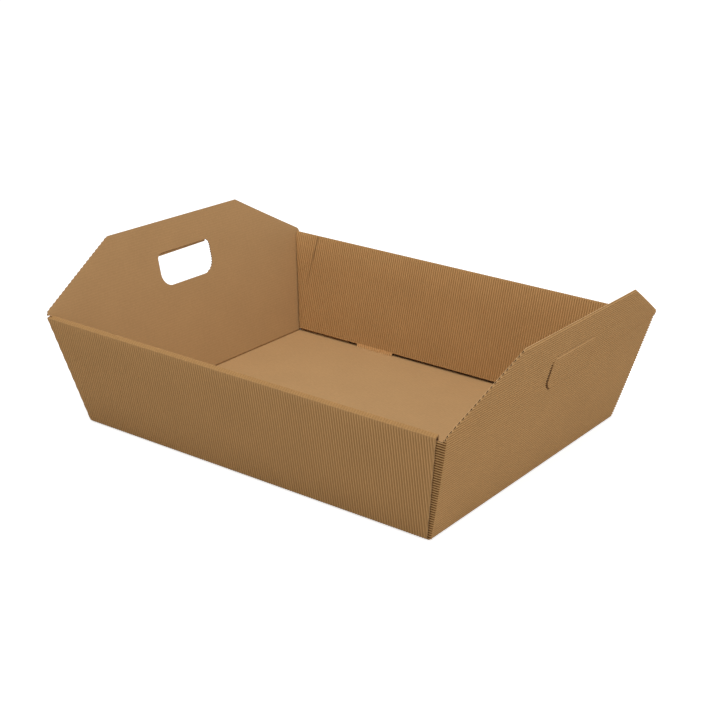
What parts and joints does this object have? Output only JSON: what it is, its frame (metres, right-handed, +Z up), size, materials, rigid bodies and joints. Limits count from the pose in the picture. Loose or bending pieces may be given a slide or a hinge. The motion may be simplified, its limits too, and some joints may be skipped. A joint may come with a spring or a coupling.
{
  "type": "cardboard tray box",
  "caption": "Open gift tray folded from one sheet of ribbed kraft card: double long walls, raised end walls with sloping shoulders, hand holes with hinged flaps.",
  "frame": {"origin": "middle of the floor, on its underside, which is the surface that the tray stands on", "axes": "+X along the long walls towards the end whose hand hole is still shut, +Y across them, +Z up"},
  "size_m": [0.3818, 0.2926, 0.1229],
  "materials": {
    "kraft_card": "matte uncoated brown kraft, ribbed on one side"
  },
  "bodies": {
    "tray": {"tray_sheet": "kraft_card"},
    "left_flap": {"left_hand_flap": "kraft_card"},
    "right_flap": {"right_hand_flap": "kraft_card"}
  },
  "joints": [
    {"name": "left_flap_hinge", "type": "hinge", "parent": "tray", "child": "left_flap", "pos_m": [-0.17496, 0, 0.09892], "axis": [0, 1, 0], "range_deg": [-100, 50]},
    {"name": "right_flap_hinge", "type": "hinge", "parent": "tray", "child": "right_flap", "pos_m": [0.17496, 0, 0.09892], "axis": [0, -1, 0], "range_deg": [0, 150]}
  ]
}
